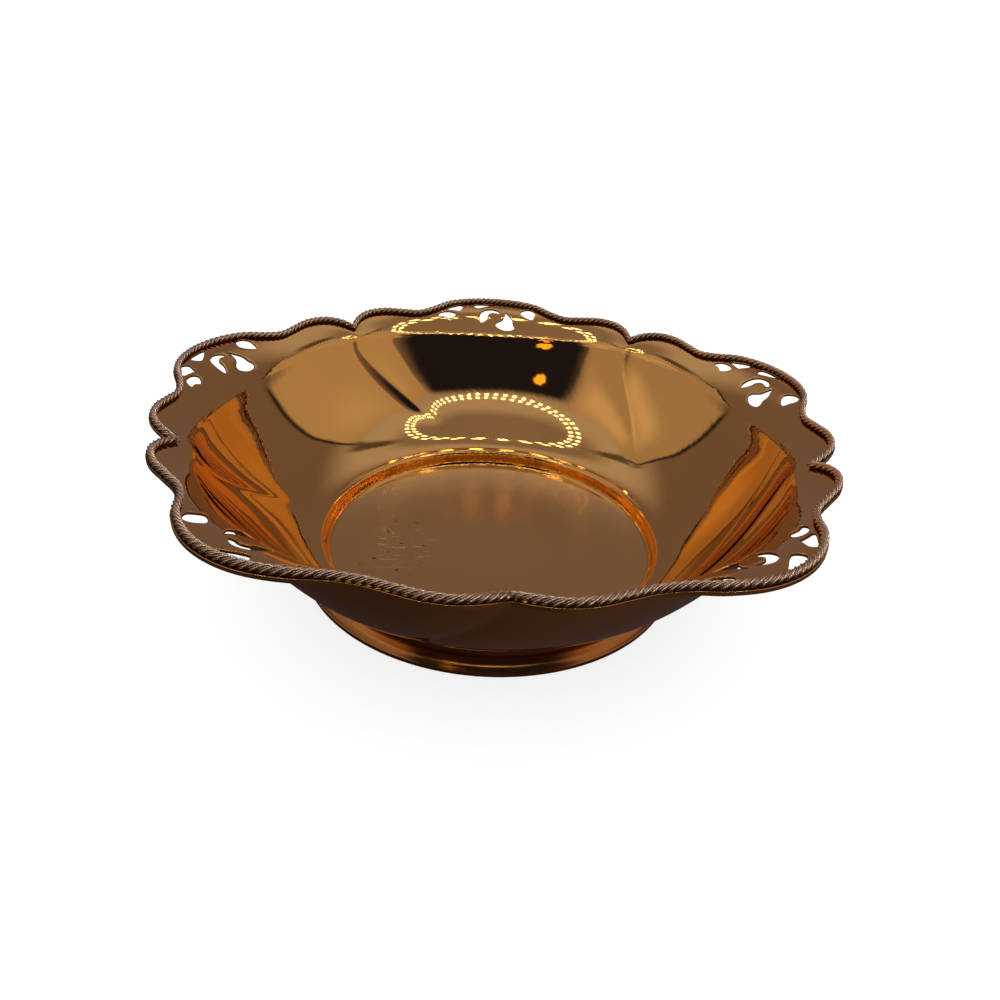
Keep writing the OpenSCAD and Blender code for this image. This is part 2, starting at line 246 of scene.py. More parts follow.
def refine(r, z, turn, corners):
    """Split the profile evenly and round its corners: [(row, fillet)]."""
    s = np.concatenate([[0], np.cumsum(np.hypot(np.diff(r), np.diff(z)))])
    keep = [0.0]
    for a, b in zip(s[:-1], s[1:]):
        n = max(1, math.ceil((b - a) / ROW_STEP)) if a > s[len(FLOOR_RINGS) - 1] else 1
        keep += list(a + (b - a) * np.arange(1, n + 1) / n)
    for index, fillet in corners:
        keep += list(s[index] + fillet * np.linspace(-FILLET_REACH, FILLET_REACH, FILLET_ROWS))
    q = np.unique(np.round(keep, 3))
    q = q[(q >= 0) & (q <= s[-1])]
    q = q[np.concatenate([[True], np.diff(q) > ROW_LEAST])]
    q[-1] = s[-1]
    out = []
    for values in (r, z, turn):
        base = np.interp(q, s, values)
        for index, fillet in corners:
            d = fillet * np.clip(1 - np.abs(q - s[index]) / (2 * fillet), 0, 1)
            lo, hi = np.interp(q - d, s, values), np.interp(q + d, s, values)
            base = np.where(d > 0, (lo + 2 * base + hi) / 4, base)
        out.append(base)
    return out


def closed_curve(points, per_span):
    """Closed smooth curve through the turns of an opening."""
    p = np.array(points)
    a, b, c, d = np.roll(p, 1, 0), p, np.roll(p, -1, 0), np.roll(p, -2, 0)
    out = []
    for i in range(len(p)):
        for j in range(per_span):
            t = j / per_span
            out.append(b[i] + t * (c[i] - a[i]) / 2 + t**2 * (a[i] - 2.5 * b[i] + 2 * c[i] - d[i] / 2)
                       + t**3 * (d[i] - a[i] + 3 * (b[i] - c[i])) / 2)
    return np.array(out) * RIM_R


def evenly(loop, spacing):
    """The closed loop again, with its points about a spacing apart."""
    ring = np.vstack([loop, loop[:1]])
    s = np.concatenate([[0], np.cumsum(np.hypot(*np.diff(ring, axis=0).T))])
    q = np.linspace(0, s[-1], max(8, round(s[-1] / spacing)) + 1)[:-1]
    return np.stack([np.interp(q, s, ring[:, 0]), np.interp(q, s, ring[:, 1])], 1)


def grow(loop, by):
    """Move a loop's points outwards along its normals."""
    along = np.roll(loop, -1, 0) - np.roll(loop, 1, 0)
    n = np.stack([along[:, 1], -along[:, 0]], 1)
    n /= np.linalg.norm(n, axis=1)[:, None]
    x, y = loop[:, 0], loop[:, 1]
    area = np.sum(x * np.roll(y, -1) - y * np.roll(x, -1))
    return loop + by * (n if area > 0 else -n)


def inside(points, loop):
    """Which of the points lie in the closed loop."""
    x, y = points[:, 0][:, None], points[:, 1][:, None]
    x1, y1 = loop[:, 0][None], loop[:, 1][None]
    x2, y2 = np.roll(loop[:, 0], -1)[None], np.roll(loop[:, 1], -1)[None]
    crosses = (y1 > y) != (y2 > y)
    dy = np.where(y2 == y1, 1e-12, y2 - y1)
    return (np.sum(crosses & (x < (x2 - x1) * (y - y1) / dy + x1), axis=1) % 2).astype(bool)


def distance_to(points, loop):
    """Least distance from each point to the loop's points."""
    d = points[:, None] - loop[None]
    return np.sqrt((d**2).sum(2).min(1))


# The sheet
FRET_SPACING, FRET_SPLIT = 0.55, 6       # between an opening's points, and spans of its curve
BEVEL = 0.16                             # rounding of the sheet's edges
FLANGE_ROWS, FLANGE_ACROSS, SIDE_POINTS = 17, 78, 6
BORDER_CLEAR, FRET_CLEAR = 0.55, 0.5     # from the flange's inner points to its borders
WELD = 0.01
UNDER_INSET = 0.05                       # keeps the under face clear of the turned-down edge


def flange_surface(x, y):
    """Height of the flange at points of a lobe drawn on +Y."""
    r = np.hypot(x, y)
    v = np.clip(np.arctan2(-x, y) / HALF, -1, 1)
    start = bend_r(v) - crease(v)
    t = np.clip((r - start) / (edge_r(v) - start), 0, 1)
    return flange_z(r + (1 - t) * crease(v))


def flange_mesh(vs, inner_r):
    """Triangles of one lobe's pierced flange outside the columns' last row."""
    edge = edge_r(vs)
    at = lambda r, v: np.stack([-r * np.sin(v * HALF), r * np.cos(v * HALF)], 1)
    inner, outer = at(inner_r, vs), at(edge, vs)
    side_r = inner_r[-1] + (edge[-1] - inner_r[-1]) * np.arange(1, SIDE_POINTS) / SIDE_POINTS
    side = at(side_r, np.full(SIDE_POINTS - 1, 1.0))
    side0 = at(side_r, np.full(SIDE_POINTS - 1, -1.0))
    border = np.vstack([inner, side, outer[::-1], side0[::-1]])
    curves = [closed_curve(turns, FRET_SPLIT) for turns in FRETS.values()]
    holes = [grow(evenly(curve, FRET_SPACING), BEVEL) for curve in curves]
    rings = [border] + holes
    grid = []
    for k in range(1, FLANGE_ROWS):
        v = (np.arange(FLANGE_ACROSS) + 0.5 * (k % 2) + 0.25) / FLANGE_ACROSS * 2 - 1
        r0, r1 = np.interp(v, vs, inner_r), edge_r(v)
        grid.append(at(r0 + (r1 - r0) * k / FLANGE_ROWS, v))
    grid = np.vstack(grid)
    ok = inside(grid, border) & (distance_to(grid, border) > BORDER_CLEAR)
    for h in holes:
        ok &= ~inside(grid, h) & (distance_to(grid, h) > FRET_CLEAR)
    points, edges = [], []
    for ring in rings:
        first = len(points)
        points += [Vector(p) for p in ring]
        edges += [(first + i, first + (i + 1) % len(ring)) for i in range(len(ring))]
    points += [Vector(p) for p in grid[ok]]
    verts, _, faces, _, _, _ = delaunay_2d_cdt(points, edges, [], 0, 1e-7)
    verts = np.array([tuple(p) for p in verts])
    faces = np.array([list(f) for f in faces])
    mid = verts[faces].mean(1)
    ok = inside(mid, border)
    for h in holes:
        ok &= ~inside(mid, h)
    faces = faces[ok]
    a, b, c = verts[faces[:, 0]], verts[faces[:, 1]], verts[faces[:, 2]]
    flip = ((b - a)[:, 0] * (c - a)[:, 1] - (b - a)[:, 1] * (c - a)[:, 0]) < 0
    faces[flip] = faces[flip][:, ::-1]
    z = flange_surface(verts[:, 0], verts[:, 1])
    return np.column_stack([verts, z]), faces


def turned(points, angle):
    """The points turned about the bowl's axis."""
    c, s = math.cos(angle), math.sin(angle)
    out = points.copy()
    out[:, 0], out[:, 1] = c * points[:, 0] - s * points[:, 1], s * points[:, 0] + c * points[:, 1]
    return out


def welded(points, faces):
    """Join points that lie closer together than WELD, and drop faces that
    this closes."""
    key = np.round(points / WELD).astype(np.int64)
    near = list(itertools.product((0, -1, 1), repeat=3))
    order = {}
    where = np.empty(len(points), int)
    kept = []
    for i, k in enumerate(map(tuple, key)):
        cells = ((k[0] + dx, k[1] + dy, k[2] + dz) for dx, dy, dz in near)
        found = next((order[cell] for cell in cells if cell in order), None)
        if found is None:
            order[k] = len(kept)
            found = len(kept)
            kept.append(points[i])
        where[i] = found
    out = []
    for f in faces:
        g = [where[i] for i in f]
        g = [a for a, b in zip(g, g[1:] + g[:1]) if a != b]
        if len(set(g)) >= 3:
            out.append(g)
    return np.array(kept), out


def upper_surface():
    """The whole upper face of the sheet, as points and faces."""
    vs = lobe_columns()
    step, well = len(FLOOR_RINGS), len(FLOOR_RINGS) + len(STEP_OUT)
    columns = []
    for v in vs:
        r, z, turn = lobe_profile(v)
        bend = len(r) - INNER_ROWS - 1
        corners = [(step, STEP_FILLET), (well, WELL_FILLET), (bend, BEND_FILLET)]
        columns.append(refine(r, z, turn, corners))
    rows = max(len(c[0]) for c in columns)
    r, z, turn = np.array([resampled(c, rows) for c in columns]).transpose(1, 0, 2)
    points, faces = [], []
    inner_r = r[:, -1]
    flange_points, flange_faces = flange_mesh(vs, inner_r)
    for k in range(LOBES):
        lobe = BACK + 2 * HALF * k
        a = lobe + vs[:, None] * HALF - turn
        grid = np.stack([r * np.cos(a), r * np.sin(a), z], 2)
        base = len(points)
        points += list(grid.reshape(-1, 3))
        for j in range(len(vs) - 1):
            for i in range(rows - 1):
                p = base + j * rows + i
                faces.append([p, p + 1, p + rows + 1, p + rows])
        base = len(points)
        points += list(turned(flange_points, 2 * HALF * k))
        faces += [[base + i for i in f] for f in flange_faces]
    points, faces = welded(np.array(points), faces)
    centre = len(points)
    inner = FLOOR_RINGS[0] * (WELL_R + WELL_DEPTH * STEP_OUT[0]) + WELD
    floor = np.where(np.hypot(points[:, 0], points[:, 1]) < inner)[0]
    order = floor[np.argsort(np.arctan2(points[floor, 1], points[floor, 0]))]
    points = np.vstack([points, [[0, 0, points[floor[0], 2]]]])
    faces += [[centre, int(a), int(b)] for a, b in zip(order, np.roll(order, -1))]
    return points, faces


def resampled(column, rows):
    """A column's profile with a set number of rows, spaced as it was."""
    n = len(column[0])
    q = np.linspace(0, n - 1, rows)
    return [np.interp(q, np.arange(n), c) for c in column]


def point_normals(points, faces):
    """Each point's normal, from the faces round it by their areas."""
    n = np.zeros_like(points)
    tri = []
    for f in faces:
        tri += [(f[0], f[i], f[i + 1]) for i in range(1, len(f) - 1)]
    tri = np.array(tri)
    a, b, c = points[tri[:, 0]], points[tri[:, 1]], points[tri[:, 2]]
    cross = np.cross(b - a, c - a)
    for k in range(3):
        np.add.at(n, tri[:, k], cross)
    return n / np.linalg.norm(n, axis=1)[:, None]


def thickened(points, faces, t, bevel, arc=3):
    """Closed sheet: the upper face, its offset, rounded edges in the
    openings, and the turned-down edge round the outside."""
    n = point_normals(points, faces)
    count = len(points)
    used = {(a, b) for f in faces for a, b in zip(f, f[1:] + f[:1])}
    rim = [(a, b) for a, b in used if (b, a) not in used]
    after = {a: b for a, b in rim}
    before = {b: a for a, b in rim}
    under = points - n * t
    all_faces = list(faces) + [[i + count for i in reversed(f)] for f in faces]
    angles = [math.pi / 2 * (j + 1) / arc for j in range(arc)]
    corner = [(math.sin(w) * bevel, (1 - math.cos(w)) * bevel) for w in angles]
    hole = corner + [(o, t - d) for o, d in reversed(corner)]
    deep = t + EDGE_LIP
    edge = corner + [(o, deep - d) for o, d in reversed(corner)] + [(0, deep)]
    edge += [(bevel - t, deep), (bevel - t, t)]
    outer = outside_loop(points, after)
    chains, extra = {}, []
    for a in after:
        along = points[after[a]] - points[before[a]]
        side = np.cross(along, n[a])
        side /= np.linalg.norm(side)
        down = np.array([0, 0, 1.0]) if a in outer else n[a]
        first = 2 * count + len(extra)
        ring = edge if a in outer else hole
        extra += [points[a] + side * o - down * d for o, d in ring]
        chains[a] = [a] + list(range(first, first + len(ring))) + [a + count]
        if a in outer:
            under[a] = points[a] - side * (t - bevel + UNDER_INSET) - n[a] * t
    for a, b in rim:
        for a0, a1, b0, b1 in zip(chains[a], chains[a][1:], chains[b], chains[b][1:]):
            all_faces.append([b0, a0, a1, b1])
    return np.vstack([points, under, np.array(extra)]), all_faces


def outside_loop(points, after):
    """The border points of the loop that runs round the whole rim."""
    start = max(after, key=lambda i: math.hypot(points[i][0], points[i][1]))
    loop, at = {start}, after[start]
    while at != start:
        loop.add(at)
        at = after[at]
    return loop


def make_object(name, points, faces, attributes=None):
    """A smooth mesh object from points in millimetres."""
    mesh = bpy.data.meshes.new(name)
    mesh.from_pydata((np.asarray(points) * MM).tolist(), [], [[int(i) for i in f] for f in faces])
    mesh.polygons.foreach_set("use_smooth", [True] * len(mesh.polygons))
    for key, values in (attributes or {}).items():
        layer = mesh.attributes.new(key, "FLOAT", "POINT")
        layer.data.foreach_set("value", np.asarray(values, np.float32))
    mesh.update()
    mesh.validate()
    obj = bpy.data.objects.new(name, mesh)
    bpy.context.scene.collection.objects.link(obj)
    return obj


def build_sheet():
    top, faces = upper_surface()
    points, faces = thickened(top, faces, SHEET_T, BEVEL)
    return make_object("copper_sheet", points, faces)


# The rope
PATH_POINTS = 1201
ROPE_STEP, ROPE_SIDES = 0.3, 64
MITRE_RUN = 2.5                  # over this length the sections turn into the mitre
ROPE_PAIRS = 4                   # thick strands, each with a thin one beside it
# Shares of the rope's radius: its core, and the strands' middle lines.
ROPE_CORE, THICK_FAR, THIN_FAR = 0.62, 0.7, 0.62
# How far up the rope the painted shade at its foot reaches, and how strongly it darkens.
ROPE_SEAT, ROPE_SEAT_SHADE = 0.35, 0.3
ROPE_SINK = 0.06                 # solder lets the rope down by this much
ROPE_NAMES = ["rope_border_back", "rope_border_left_back", "rope_border_front_left",
              "rope_border_front_right", "rope_border_right_back"]


def strand(w, far, wide):
    """How far out a round strand reaches in direction w from the bar's middle."""
    off = far * np.sin(w)
    reach = far * np.cos(w) + np.sqrt(np.maximum(wide**2 - off**2, 0))
    return np.where((np.abs(off) < wide) & (np.cos(w) > 0), reach, 0)


def rope_section(w):
    """Radius share round the bar: thick strands with thin ones between them."""
    share = np.full_like(w, ROPE_CORE)
    for k in range(ROPE_PAIRS):
        thick = w - 2 * math.pi * k / ROPE_PAIRS
        thin = thick - math.pi / ROPE_PAIRS
        share = np.maximum(share, strand(thick, THICK_FAR, 1 - THICK_FAR))
        share = np.maximum(share, strand(thin, THIN_FAR, ROPE_THIN - THIN_FAR))
    return share


def build_rope(k, name):
    """One length of the rope from cusp to cusp, its sections square to its
    path but leaning into the mitre at both ends."""
    v = np.linspace(-1, 1, PATH_POINTS)
    v *= 1 - ROPE_GAP / (HALF * RIM_R)
    x, y = rim_at(v) * np.cos(v * HALF), rim_at(v) * np.sin(v * HALF)
    s = np.concatenate([[0], np.cumsum(np.hypot(np.diff(x), np.diff(y)))])
    n = round(s[-1] / ROPE_STEP)
    run = np.linspace(0, s[-1], n + 1)
    v = np.interp(run, s, v)
    r0 = rim_at(v)
    lift = np.hypot(ROPE_R * stretch(v) * flange_tilt(r0), ROPE_R)
    z0 = flange_z(r0) + ROPE_GAP - ROPE_SINK + lift
    a = BACK + 2 * HALF * k + v * HALF
    mid = np.stack([r0 * np.cos(a), r0 * np.sin(a), z0], 1)
    along = np.gradient(mid, axis=0)
    along /= np.linalg.norm(along, axis=1)[:, None]
    side = np.stack([along[:, 1], -along[:, 0], np.zeros(n + 1)], 1)
    side /= np.linalg.norm(side, axis=1)[:, None]
    radial = np.stack([np.cos(a), np.sin(a), np.zeros(n + 1)], 1)
    mitre = radial * stretch(v)[:, None]
    near = np.clip(1 - np.minimum(run, s[-1] - run) / MITRE_RUN, 0, 1)[:, None] ** 2
    side = side + (mitre - side) * near
    up = np.cross(side, along)
    up /= np.linalg.norm(up, axis=1)[:, None]
    up = up + (np.array([0, 0, 1.0]) - up) * near
    q = np.arange(ROPE_SIDES) / ROPE_SIDES * 2 * math.pi
    w = q[None] + 2 * math.pi * run[:, None] / ROPE_LEAD
    share = rope_section(q)[None]
    out = (ROPE_R * share * np.cos(w))[:, :, None]
    rise = (ROPE_R * share * np.sin(w))[:, :, None]
    points = (mid[:, None] + side[:, None] * out + up[:, None] * rise).reshape(-1, 3)
    m = ROPE_SIDES
    faces = [[i * m + j, (i + 1) * m + j, (i + 1) * m + (j + 1) % m, i * m + (j + 1) % m]
             for i in range(n) for j in range(m)]
    faces += [list(range(m)), [n * m + j for j in reversed(range(m))]]
    # Painted shade: the colour darkens in the grooves between the strands and on the rope's underside,
    # where it sits on the sheet.
    seat = np.clip(ROPE_SEAT - np.sin(w), 0, 1)
    lit_share = (share - ROPE_SEAT_SHADE * seat).reshape(-1)
    return make_object(name, points, faces, {"lit_share": lit_share})


# The foot
FOOT_CHAMFER = 0.25
RIDGE_UP = 0.45                  # share of the foot's height up to its ridge
# The cove above the base band: shares of the foot's spread, and of its height.
COVE_IN, COVE_UP = [0.1, 0.25, 0.55, 0.82, 0.95], [0.05, 0.32, 0.62, 0.82, 0.97]
INSIDE_IN, INSIDE_UP = 0.6, 0.35         # the same for the turn on the inside
LIP_IN, LIP_UP = 0.22, 0.6               # the lip inside the base band
BEAD_STEPS, FOOT_TURNS, FOOT_SHARP = 14, 288, math.radians(35)


def build_foot():
    """The turned foot: base band, cove, ridge and beaded neck."""
    foot_r = FOOT_NECK_R + FOOT_SPREAD
    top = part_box("foot_ring")[1][2] / MM
    ridge = RIDGE_UP * top
    cove = ridge - FOOT_BAND_H
    cut_r = foot_r - FOOT_CHAMFER
    outer = [(cut_r, 0), (foot_r, FOOT_CHAMFER),
             (foot_r, FOOT_BAND_H - FOOT_CHAMFER), (cut_r, FOOT_BAND_H)]
    for i, u in zip(COVE_IN, COVE_UP):
        outer.append((foot_r - FOOT_SPREAD * i, FOOT_BAND_H + cove * u))
    for i in range(BEAD_STEPS + 1):
        bulge = FOOT_BEAD * math.sin(math.pi * i / BEAD_STEPS)
        outer.append((FOOT_NECK_R + bulge, ridge + (top - ridge) * i / BEAD_STEPS))
    lip_r = foot_r - 2 * FOOT_T - LIP_IN * FOOT_SPREAD
    inner = [(FOOT_NECK_R - FOOT_T, top), (FOOT_NECK_R - FOOT_T, ridge),
             (foot_r - FOOT_T - INSIDE_IN * FOOT_SPREAD, FOOT_BAND_H + cove * INSIDE_UP),
             (lip_r, FOOT_BAND_H * LIP_UP), (lip_r, 0)]
    ring = np.array(outer + inner)
    n, m = FOOT_TURNS, len(ring)
    points, faces = [], []
    for i in range(n):
        a = 2 * math.pi * i / n
        points += [(r * math.cos(a), r * math.sin(a), z) for r, z in ring]
    for i in range(n):
        k = (i + 1) % n
        faces += [[i * m + j, k * m + j, k * m + (j + 1) % m, i * m + (j + 1) % m] for j in range(m)]
    obj = make_object("copper_foot", points, faces)
    obj.data.set_sharp_from_angle(angle=FOOT_SHARP)
    return obj


# Materials
COPPER = (0.95, 0.53, 0.148)
WELL_COPPER = (0.95, 0.58, 0.19)
SCRATCH_COPPER = (0.98, 0.72, 0.42)
ROPE_COPPER = (1.0, 0.73, 0.45)
# The next colour is the rope's painted shade, laid in its grooves and on its underside.
ROPE_SHADE = (0.12, 0.055, 0.028)
FOOT_COPPER = (0.55, 0.23, 0.06)
SPECK_COPPER = (0.2, 0.12, 0.08)
SOLDER_DARK, SOLDER_PALE = (0.42, 0.38, 0.34), (0.62, 0.58, 0.53)
# Scales are in features to a metre. A pair in brackets is where a noise sets
# in and where it is whole, and three numbers draw the noise out in lines.
TARNISH, TARNISH_SCALE, STAIN = 0.93, 26.0, (0.35, 0.7)     # TARNISH is how dark the stains are
HAIRLINE, HAIR_SCALE, HAIR = (1.0, 14.0, 1.0), 240.0, (0.55, 0.75)
SCRATCH, SCRATCH_SCALE, CUT = (1.6, 9.0, 1.0), 130.0, (0.57, 0.66)
SPECK_SCALE, SPECK, SPECK_WORN = 520.0, (0.8, 0.84), (0.0, 0.1)
WAVE_SCALE, ROPE_WAVE_SCALE = 55.0, 900.0
SHEET_WAVE, ROPE_WAVE, FOOT_WAVE = 0.02, 0.03, 0.03         # depths in millimetres
SHEET_ROUGH, WELL_ROUGH, FOOT_ROUGH = 0.035, 0.13, 0.15
HAIR_ROUGH, SCRATCH_ROUGH = 0.05, 0.15                      # added by hairlines and scratches
# GROOVE is where the painted shade in the rope's grooves gives way to its bright ridges.
GROOVE, GROOVE_ROUGH, RIDGE_ROUGH = (0.64, 0.84), 0.6, 0.16
SOLDER_SCALE, SOLDER_DULL, SOLDER_ROUGH = 180.0, (0.2, 0.8), (0.38, 0.6)
LUMP_SCALE, LUMP = 300.0, 0.15
WORN_PLACE, WORN_R = (-32.0, -6.0, 4.9), 24.0               # the scratched part of the well's floor
FLOOR_FADE, FLOOR_OVER = 0.8, 0.4                           # how the floor's look ends at the step
# The floor's dishing: from this radius on, its depth is the curve times the
# square of the distance, in millimetres.
DISH_FROM, DISH_CURVE = 16.0, 0.0016


class Nodes:
    """Makes and wires shader nodes. Values may be numbers or other nodes' outputs."""

    def __init__(self, tree):
        self.tree = tree

    def new(self, kind, **settings):
        node = self.tree.nodes.new(kind)
        for key, value in settings.items():
            setattr(node, key, value)
        return node

    def feed(self, socket, value):
        if hasattr(value, "is_output"):
            self.tree.links.new(value, socket)
        else:
            socket.default_value = value

    def math(self, op, *values):
        node = self.new("ShaderNodeMath", operation=op)
        for socket, value in zip(node.inputs, values):
            self.feed(socket, value)
        return node.outputs[0]

    def ramp(self, value, low, high, out_low=0.0, out_high=1.0):
        node = self.new("ShaderNodeMapRange", interpolation_type="SMOOTHSTEP")
        for socket, v in zip(node.inputs, (value, low, high, out_low, out_high)):
            self.feed(socket, v)
        return node.outputs[0]

    def band(self, value, low, high, soft):
        """1 between low and high, fading over soft on either side."""
        rise = self.ramp(value, low - soft, low + soft)
        return self.math("MULTIPLY", rise, self.ramp(value, high - soft, high + soft, 1.0, 0.0))

    def noise(self, place, scale, detail):
        """Soft noise from 0 to 1 over the surface, scale to a metre."""
        node = self.new("ShaderNodeTexNoise")
        for key, value in (("Vector", place), ("Scale", scale), ("Detail", detail)):
            self.feed(node.inputs[key], value)
        return node.outputs[0]

    def stretched(self, place, by):
        """The place drawn out, so that what is painted there runs in lines."""
        node = self.new("ShaderNodeVectorMath", operation="MULTIPLY")
        self.feed(node.inputs[0], place)
        self.feed(node.inputs[1], by)
        return node.outputs[0]

    def far_from(self, place, spot):
        """How far the place is from a spot given in millimetres."""
        node = self.new("ShaderNodeVectorMath", operation="DISTANCE")
        self.feed(node.inputs[0], place)
        self.feed(node.inputs[1], tuple(c * MM for c in spot))
        return node.outputs["Value"]

    def mix(self, share, a, b):
        node = self.new("ShaderNodeMix", data_type="RGBA")
        self.feed(node.inputs["Factor"], share)
        for key, value in (("A", a), ("B", b)):
            socket = next(i for i in node.inputs if i.name == key and i.type == "RGBA")
            self.feed(socket, value)
        return next(o for o in node.outputs if o.type == "RGBA")


def copper(name, tint, wave, wave_scale, roughness=None):
    """Polished copper: thin tarnish in soft patches, a surface that waves a
    little from being worked, wave millimetres deep, and fine hairlines where
    a roughness is given."""
    mat = bpy.data.materials.new(name)
    mat.use_nodes = True
    n = Nodes(mat.node_tree)
    bsdf = mat.node_tree.nodes["Principled BSDF"]
    bsdf.inputs["Metallic"].default_value = 1.0
    place = n.new("ShaderNodeTexCoord").outputs["Object"]
    patches = n.noise(place, TARNISH_SCALE, 3.0)
    stain = n.ramp(patches, *STAIN)
    n.feed(bsdf.inputs["Base Color"], n.mix(stain, (*tint, 1), (*(c * TARNISH for c in tint), 1)))
    if roughness is not None:
        hairs = n.noise(n.stretched(place, HAIRLINE), HAIR_SCALE, 2.0)
        n.feed(bsdf.inputs["Roughness"], n.ramp(hairs, *HAIR, roughness, roughness + HAIR_ROUGH))
    bump = n.new("ShaderNodeBump")
    bump.inputs["Strength"].default_value = 1.0
    bump.inputs["Distance"].default_value = wave * MM
    n.feed(bump.inputs["Height"], n.noise(place, wave_scale, 1.0))
    n.feed(bsdf.inputs["Normal"], bump.outputs[0])
    return mat


def polished_sheet():
    """The sheet's copper: as above, and a satin well with a few scratches
    and dark specks on its floor."""
    mat = copper("polished_copper", COPPER, SHEET_WAVE, WAVE_SCALE, SHEET_ROUGH)
    n = Nodes(mat.node_tree)
    bsdf = mat.node_tree.nodes["Principled BSDF"]
    place = n.new("ShaderNodeTexCoord").outputs["Object"]
    split = n.new("ShaderNodeSeparateXYZ")
    n.feed(split.inputs[0], place)
    x, y, z = split.outputs
    far = n.math("SQRT", n.math("ADD", n.math("MULTIPLY", x, x), n.math("MULTIPLY", y, y)))
    floor_r = (WELL_R + WELL_DEPTH * STEP_OUT[0]) * MM
    floor_z = (WELL_Z - WELL_DEPTH + FLOOR_RISE + FLOOR_OVER) * MM
    on_floor = n.math("MULTIPLY", n.ramp(far, floor_r - FLOOR_FADE * MM, floor_r, 1.0, 0.0),
                      n.ramp(z, floor_z, floor_z + FLOOR_OVER * MM, 1.0, 0.0))
    cuts = n.noise(n.stretched(place, SCRATCH), SCRATCH_SCALE, 2.0)
    worn = n.ramp(n.far_from(place, WORN_PLACE), WORN_R * MM, 0.0)
    scratch = n.math("MULTIPLY", n.ramp(cuts, *CUT), worn)
    dots = n.ramp(n.noise(place, SPECK_SCALE, 0.0), *SPECK)
    specks = n.math("MULTIPLY", dots, n.ramp(worn, *SPECK_WORN))
    base = bsdf.inputs["Base Color"].links[0].from_socket
    floor_colour = n.mix(scratch, (*WELL_COPPER, 1), (*SCRATCH_COPPER, 1))
    floor_colour = n.mix(specks, floor_colour, (*SPECK_COPPER, 1))
    n.feed(bsdf.inputs["Base Color"], n.mix(on_floor, base, floor_colour))
    rough = bsdf.inputs["Roughness"].links[0].from_socket
    satin = n.math("ADD", n.math("MULTIPLY", scratch, SCRATCH_ROUGH), WELL_ROUGH)
    mixed = n.new("ShaderNodeMix", data_type="FLOAT")
    for socket, value in zip((i for i in mixed.inputs if i.type == "VALUE"), (on_floor, rough, satin)):
        n.feed(socket, value)
    n.feed(bsdf.inputs["Roughness"], mixed.outputs[0])
    out = n.math("SUBTRACT", n.math("MINIMUM", n.math("DIVIDE", far, MM), floor_r / MM), DISH_FROM)
    out = n.math("MAXIMUM", out, 0.0)
    dish = n.new("ShaderNodeBump")
    dish.inputs["Strength"].default_value = 1.0
    dish.inputs["Distance"].default_value = DISH_CURVE * MM
    n.feed(dish.inputs["Height"], n.math("MULTIPLY", out, out))
    n.feed(dish.inputs["Normal"], bsdf.inputs["Normal"].links[0].from_socket)
    n.feed(bsdf.inputs["Normal"], dish.outputs[0])
    return mat


def rope_copper():
    """The twisted wire: bright on its ridges, with painted shade in the grooves between them and on
    its underside.
    """
    mat = copper("rope_copper", ROPE_COPPER, ROPE_WAVE, ROPE_WAVE_SCALE)
    n = Nodes(mat.node_tree)
    bsdf = mat.node_tree.nodes["Principled BSDF"]
    # Painted shade: the mesh's mask darkens the colour in the grooves and under the rope.
    lit_share = n.new("ShaderNodeAttribute", attribute_name="lit_share").outputs["Fac"]
    unshaded = n.ramp(lit_share, *GROOVE)
    base = bsdf.inputs["Base Color"].links[0].from_socket
    n.feed(bsdf.inputs["Base Color"], n.mix(unshaded, (*ROPE_SHADE, 1), base))
    n.feed(bsdf.inputs["Roughness"], n.ramp(unshaded, 0.0, 1.0, GROOVE_ROUGH, RIDGE_ROUGH))
    return mat


def solder():
    """Dull grey solder with a lumpy skin."""
    mat = bpy.data.materials.new("solder")
    mat.use_nodes = True
    n = Nodes(mat.node_tree)
    bsdf = mat.node_tree.nodes["Principled BSDF"]
    bsdf.inputs["Metallic"].default_value = 1.0
    place = n.new("ShaderNodeTexCoord").outputs["Object"]
    dull = n.noise(place, SOLDER_SCALE, 3.0)
    n.feed(bsdf.inputs["Base Color"], n.mix(dull, (*SOLDER_DARK, 1), (*SOLDER_PALE, 1)))
    n.feed(bsdf.inputs["Roughness"], n.ramp(dull, *SOLDER_DULL, *SOLDER_ROUGH))
    bump = n.new("ShaderNodeBump")
    bump.inputs["Strength"].default_value = 1.0
    bump.inputs["Distance"].default_value = LUMP * MM
    n.feed(bump.inputs["Height"], n.noise(place, LUMP_SCALE, 2.0))
    n.feed(bsdf.inputs["Normal"], bump.outputs[0])
    return mat


# The light and the floor
# What the metal sees: colours by the height above the level, in degrees, and
# then the patches laid over them.
ROOM = (0.164, 0.130, 0.163, 1)
ROOM_HIGH = (0.420, 0.390, 0.500, 1)
OVERHEAD = (0.235, 0.200, 0.265, 1)
BELOW_LEFT, BELOW_RIGHT = (0.030, 0.020, 0.021, 1), (0.048, 0.031, 0.034, 1)
HORIZON, ROOM_TURNS, ROOM_ENDS = (-4.0, 2.0), (36.0, 54.0), (58.0, 68.0)
LEFT_TO_RIGHT = 0.4              # the colours from below change from minus this to this
EDGE_HIGH = (0.096, 0.079, 0.088, 1)
SIDE_DIM_LEFT = (0.360, 0.300, 0.300, 1)
SIDE_DIM_RIGHT = (0.430, 0.350, 0.310, 1)
SIDE_BRIGHT_LEFT = (0.570, 0.480, 0.465, 1)
SIDE_BRIGHT_RIGHT = (0.490, 0.415, 0.395, 1)
DARK = (0.012, 0.012, 0.030, 1)
LAMP = (1.5, 0.85, 0.12, 1)
BULB = (7.0, 7.0, 6.5, 1)
PALE = (1.15, 1.15, 1.15, 1)
SIDE_LOW, LEAN = 11.0, 0.13      # lower edge of the side lights, and how their inner edges lean
